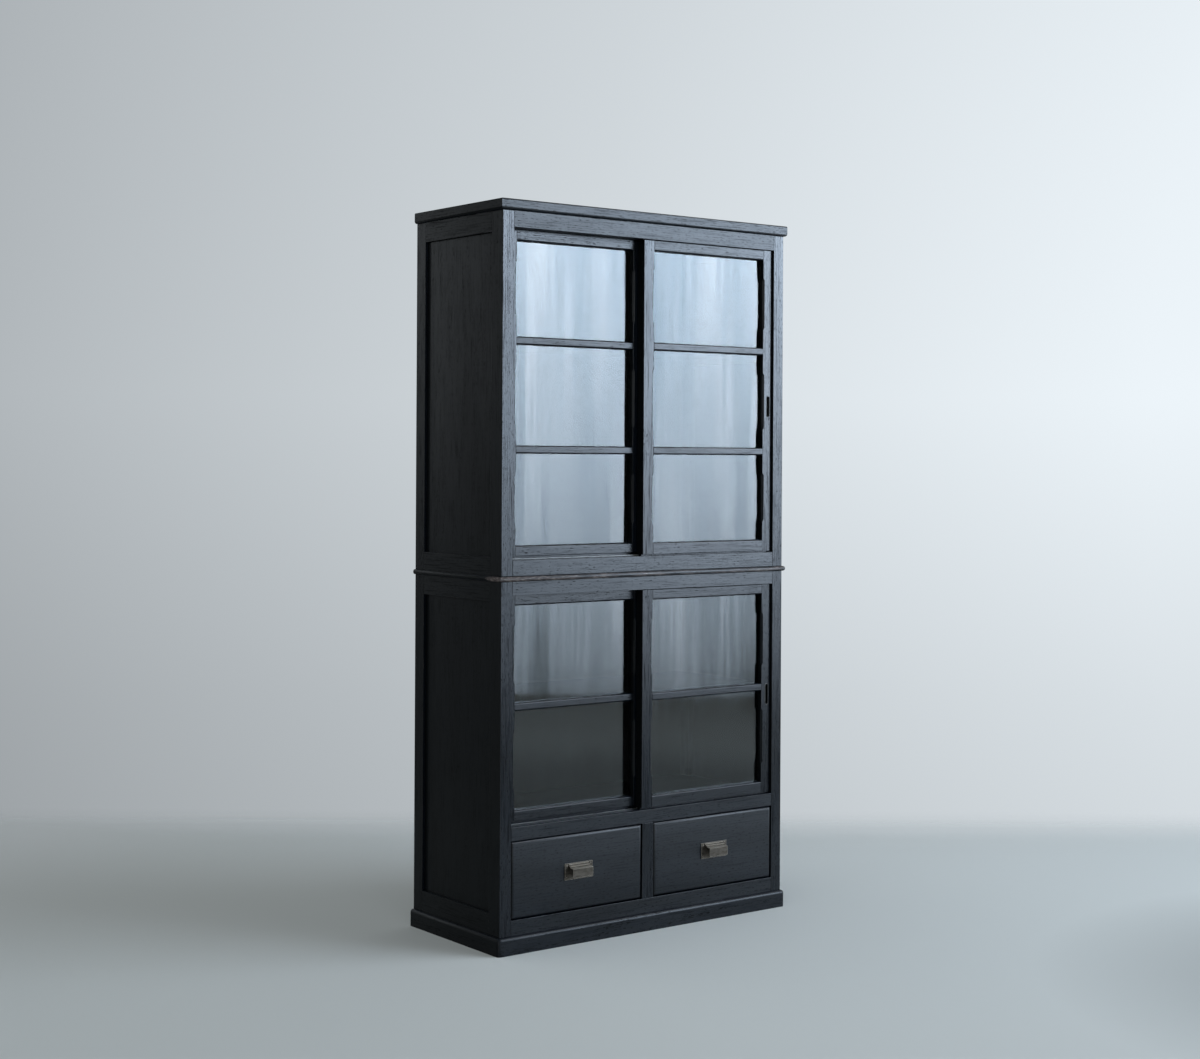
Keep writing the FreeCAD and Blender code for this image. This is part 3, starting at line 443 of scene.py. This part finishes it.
def makeSlips():
    # The section across a slip is an upright bar with a rounded top: where the turn goes from the front
    # foot over the top to the back foot, its half width is a cosine of the turn and its rise is the sine
    # to the power of one over the roundness. The top sags a little, as a slow wave along the length.
    # pale grey look: rubbed wood and a painted highlight line
    wood = woodMaterial("rubbed_and_highlit_chestnut_slip", "x", paleRubbedAndHighlit, gloss["rubbed"])
    turn = numpy.linspace(0, math.pi, slip["steps"])
    for tier, rise in slip["rises"].items():
        left, leftDoorFace = boxes[f"{tier}_left_door_pull_stile"][0][:2]
        right, rightDoorBack = boxes[f"{tier}_right_door_pull_stile"][1][:2]
        sill = boxes[f"{tier}_sill_rail"][1][2]
        foot = sill - slip["sunk"]
        along = numpy.linspace(left, right, slip["stations"])[:, None]
        across = (leftDoorFace + rightDoorBack) / 2 - slip["thick"] / 2 * numpy.cos(turn)
        top = sill + rise + slip["sag"] * (numpy.sin(along * slip["waves"]) - 1)
        up = foot + (top - foot) * numpy.sin(turn) ** (1 / slip["roundness"])
        grid = numpy.stack(numpy.broadcast_arrays(along, across, up), axis=-1)
        order = numpy.arange(up.size).reshape(up.shape)
        skin = numpy.stack([order[:-1, :-1], order[:-1, 1:], order[1:, 1:], order[1:, :-1]], axis=-1)
        sole = numpy.stack([order[:-1, 0], order[1:, 0], order[1:, -1], order[:-1, -1]], axis=-1)
        ends = [order[0, ::-1].tolist(), order[-1].tolist()]
        faces = skin.reshape(-1, 4).tolist() + sole.tolist() + ends
        piece = addMesh(f"{tier}_sill_slip", grid.reshape(-1, 3).tolist(), faces, wood)
        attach(piece, "case")


makeSlips()
print("track slips", len(slip["rises"]))


# A bead is worked round each finger recess; its pale grey is partly where fingers have rubbed it and partly a
# painted highlight.
bead = {"inset": 0.012, "aboveSill": {"upper": 0.383, "lower": 0.262}, "halfStraight": 0.0225,
        "radius": 0.0052, "thick": 0.0007, "steps": 48, "ringSteps": 10}


def makeBeads():
    # A round section is carried along a slot's outline. Where the turn goes once round, the outline is
    # a circle whose upper half is moved up and whose lower half is moved down by half the straight part.
    # pale grey look: fingers' rubbing and a painted highlight on the bead
    wood = woodMaterial("rubbed_and_highlit_chestnut_bead", "z", paleRubbedAndHighlit, gloss["rubbed"])
    turn = (numpy.arange(bead["steps"])[:, None] + 0.5) / bead["steps"] * 2 * math.pi
    ring = numpy.arange(bead["ringSteps"]) / bead["ringSteps"] * 2 * math.pi
    reach = bead["radius"] + bead["thick"] * numpy.cos(ring)
    outward = reach * numpy.cos(turn)
    upward = reach * numpy.sin(turn) + bead["halfStraight"] * numpy.sign(numpy.sin(turn))
    order = numpy.arange(outward.size).reshape(outward.shape)
    ahead = numpy.roll(order, -1, axis=0)
    corners = [order, ahead, numpy.roll(ahead, -1, axis=1), numpy.roll(order, -1, axis=1)]
    faces = numpy.stack(corners, axis=-1).reshape(-1, 4).tolist()
    for door in doors:
        tier, hand = door.split("_")[:2]
        low, high = boxes[f"{door}_pull_stile"]
        middle = high[0] - bead["inset"] if hand == "right" else low[0] + bead["inset"]
        height = boxes[f"{tier}_sill_rail"][1][2] + bead["aboveSill"][tier]
        proud = low[1] - bead["thick"] * numpy.sin(ring)
        grid = numpy.stack(numpy.broadcast_arrays(middle + outward, proud, height + upward), axis=-1)
        piece = addMesh(f"{door}_recess_bead", grid.reshape(-1, 3).tolist(), faces, wood)
        piece.data.shade_smooth()
        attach(piece, door)


makeBeads()
print("recess beads", len(doors))


# The floor fades between two distances from its centre, and between two along the direction away. A soft
# round painted shade darkens it at the right.
floorLook = {"colour": "#d3d5d1", "centre": (0.9, -1.4), "solidToGone": (3.0, 5.0), "margin": 0.5,
             "away": (0.604, 0.797), "behindToGone": (0.95, 1.55),
             "shade": (1.25, -1.8), "shadeReach": (0.5, 1.1), "shadeLevel": 0.65}


def makeFloor():
    # a pale floor that fades out far off, and sooner behind the cabinet as seen from the front
    made, make = newMaterial("pale_floor")
    x, y = floorLook["centre"]
    place = make("TexCoord", out="Object")
    far = make("VectorMath", [place, (x, y, 0)], out="Value", operation="DISTANCE")
    farShare = make("MapRange", [far, *floorLook["solidToGone"]], interpolation_type="SMOOTHSTEP")
    behind = make("VectorMath", [place, (*floorLook["away"], 0)], out="Value", operation="DOT_PRODUCT")
    behindShare = make("MapRange", [behind, *floorLook["behindToGone"]], interpolation_type="SMOOTHSTEP")
    faded = make("Math", [farShare, behindShare], operation="MAXIMUM")
    # painted shade: the floor's colour is darkened round one place at the right
    fromShade = make("VectorMath", [place, (*floorLook["shade"], 0)], out="Value", operation="DISTANCE")
    level = make("MapRange", [fromShade, *floorLook["shadeReach"], floorLook["shadeLevel"], 1.0])
    colour = make("VectorMath", [linear(floorLook["colour"])[:3], level], operation="MULTIPLY")
    matte = make("BsdfDiffuse", {"Color": colour})
    mixed = make("MixShader", [faded, matte, make("BsdfTransparent")])
    make("OutputMaterial", {"Surface": mixed})
    half = floorLook["solidToGone"][1] + floorLook["margin"]
    corners = [(x + side * half, y + end * half, 0) for side, end in ((-1, -1), (1, -1), (1, 1), (-1, 1))]
    addMesh("floor", corners, [(0, 1, 2, 3)], made)


# Brightness along each way across the room, as stops with their place and level. leftEnds says between
# which places, from left to right, the left side's own brightness gives way.
studio = {
    "leftToRight": [(0.0, 0.12), (0.60, 0.36), (0.685, 0.50), (0.80, 0.69), (0.90, 0.91), (1.0, 0.91)],
    "upward": [(0.30, 0.60), (0.44, 0.82), (0.515, 1.0), (0.615, 0.96), (0.70, 0.55), (1.0, 0.35)],
    "leftUpward": [(0.30, 0.12), (0.42, 0.16), (0.453, 0.28), (0.48, 0.42), (0.512, 0.75), (0.545, 1.15),
                   (0.62, 1.3), (0.72, 0.5), (1.0, 0.35)],
    "leftEnds": (-0.30, 0.15),
    "tint": (0.93, 1.0, 1.05, 1),
}


def makeWorld():
    # a plain room, paler to the right, and with a pale patch high on its left that the side mirrors
    world = bpy.data.worlds.new("studio")
    world.use_nodes = True
    world.node_tree.nodes.clear()
    make = partial(add, world.node_tree)
    across, away, height = make("SeparateXYZ", [make("TexCoord", out="Generated")], out=slice(0, 3))
    bands = {}
    for name, value in (("leftToRight", across), ("upward", height), ("leftUpward", height)):
        bands[name] = make("ValToRGB", [make("MapRange", [value, -1.0, 1.0])])
        ramp = bands[name].node.color_ramp
        while len(ramp.elements) < len(studio[name]):
            ramp.elements.new(0.5)
        for stop, (place, level) in zip(ramp.elements, studio[name]):
            stop.position = place
            stop.color = (level, level, level, 1)
    product = dict(blend, blend_type="MULTIPLY")
    right = make("Mix", {0: 1.0, 6: bands["leftToRight"], 7: bands["upward"]}, **product)
    rightShare = make("MapRange", [across, *studio["leftEnds"]], interpolation_type="SMOOTHSTEP")
    grey = make("Mix", {0: rightShare, 6: bands["leftUpward"], 7: right}, **blend)
    light = make("Mix", {0: 1.0, 6: grey, 7: studio["tint"]}, **product)
    make("OutputWorld", {"Surface": make("Background", [light, 1.0])})
    scene.world = world


window = {
    "towards": (0.6041, -0.7969, 0.0),           # unit direction from the cabinet to the window
    "distance": 4.6, "left": -1.15, "right": 2.5, "low": 0.04, "high": 2.74,
    "foot": 1.5, "rise": 3.65, "climb": 1.15,    # brightness: foot, plus rise times a power of the height
    "cool": "#c8e2fd", "warm": "#d8e6f8", "hueSpan": (0.35, 0.65),
    "folds": (0.85, 0.25), "foldHeights": (0.2, 1.6), "foldSpan": (0.3, 0.7), "foldWidth": 0.1,
    "foldRise": 0.35,
    "spread": 120,                               # degrees: the curtain sends little light steeply down
}


def makeWindow():
    # one tall soft window with a thin curtain, brighter upwards
    lamp = bpy.data.lights.new("window", "AREA")
    lamp.shape = "RECTANGLE"
    lamp.size = window["right"] - window["left"]
    lamp.size_y = window["high"] - window["low"]
    lamp.spread = math.radians(window["spread"])
    narrowing = 1 - lamp.spread / 2 / math.tan(lamp.spread / 2)
    lamp.energy = math.pi * lamp.size * lamp.size_y * narrowing      # brightness 1, face on
    lamp.use_nodes = True
    lamp.node_tree.nodes.clear()
    make = partial(add, lamp.node_tree)
    place = make("NewGeometry", out="Position")
    height = make("SeparateXYZ", [place], out=2)
    climb = make("Math", [height, window["climb"]], operation="POWER")
    level = make("Math", [climb, window["rise"], window["foot"]], operation="MULTIPLY_ADD")
    foldScale = (1 / window["foldWidth"], 1 / window["foldWidth"], window["foldRise"])
    drape = make("VectorMath", [place, foldScale], operation="MULTIPLY")
    fold = make("TexNoise", {"Vector": drape, "Scale": 1.0, "Detail": 2.0, "Roughness": 0.5})
    depth = make("MapRange", [height, *window["foldHeights"], *window["folds"]])
    swing = make("MapRange", [fold, *window["foldSpan"], -1.0, 1.0])
    thin = make("Math", [swing, depth, 1.0], operation="MULTIPLY_ADD")
    warmth = make("MapRange", [fold, *window["hueSpan"]])
    hue = make("Mix", {0: warmth, 6: linear(window["cool"]), 7: linear(window["warm"])}, **blend)
    strength = make("Math", [level, thin], operation="MULTIPLY")
    make("OutputLight", {"Surface": make("Emission", {"Color": hue, "Strength": strength})})
    lit = addObject("window", lamp)
    towards = Vector(window["towards"])
    sideways = Vector((-towards.y, towards.x, 0)) * (window["left"] + window["right"]) / 2
    upward = Vector((0, 0, (window["low"] + window["high"]) / 2))
    lit.location = towards * window["distance"] + sideways + upward
    lit.rotation_euler = towards.to_track_quat("Z", "Y").to_euler()
    lit.visible_camera = False


skylight = {"place": (2.5, -2.75, 4.1), "aim": (0.0, -0.3, 0.4), "wide": 4.0, "tall": 2.4,
            "brightness": 2.6, "tint": "#eaf3ff"}


def makeSkylight():
    # a wide soft light high on the right: it lays the cabinet's shadow to the left and lines upper edges
    lamp = bpy.data.lights.new("skylight", "AREA")
    lamp.shape = "RECTANGLE"
    lamp.size = skylight["wide"]
    lamp.size_y = skylight["tall"]
    lamp.energy = math.pi * lamp.size * lamp.size_y * skylight["brightness"]
    lamp.color = linear(skylight["tint"])[:3]
    lit = addObject("skylight", lamp)
    lit.location = skylight["place"]
    lit.rotation_euler = (lit.location - Vector(skylight["aim"])).to_track_quat("Z", "Y").to_euler()
    lit.visible_camera = False


# the photograph's camera: its angles are in degrees, and its lens and sensor in millimetres
shot = {"place": (-3.0535, -4.0042, 1.1839), "yaw": 37.157, "roll": 0.301, "lens": 58.44, "sensor": 36.0,
        "shift": -0.0595}


def makeCamera():
    camera = bpy.data.cameras.new("camera")
    camera.lens = shot["lens"]
    camera.sensor_width = shot["sensor"]
    camera.shift_y = shot["shift"]
    yaw = math.radians(shot["yaw"])
    roll = math.radians(shot["roll"])
    ahead = Vector((math.sin(yaw), math.cos(yaw), 0))
    sideways = Vector((math.cos(yaw), -math.sin(yaw), 0))
    upright = Vector((0, 0, 1))
    right = sideways * math.cos(roll) + upright * math.sin(roll)
    up = upright * math.cos(roll) - sideways * math.sin(roll)
    turned = Matrix((right, up, -ahead)).transposed().to_4x4()
    eye = addObject("camera", camera)
    eye.matrix_world = Matrix.Translation(shot["place"]) @ turned
    scene.camera = eye


makeFloor()
makeWorld()
makeWindow()
makeSkylight()
makeCamera()
print("stage ready")
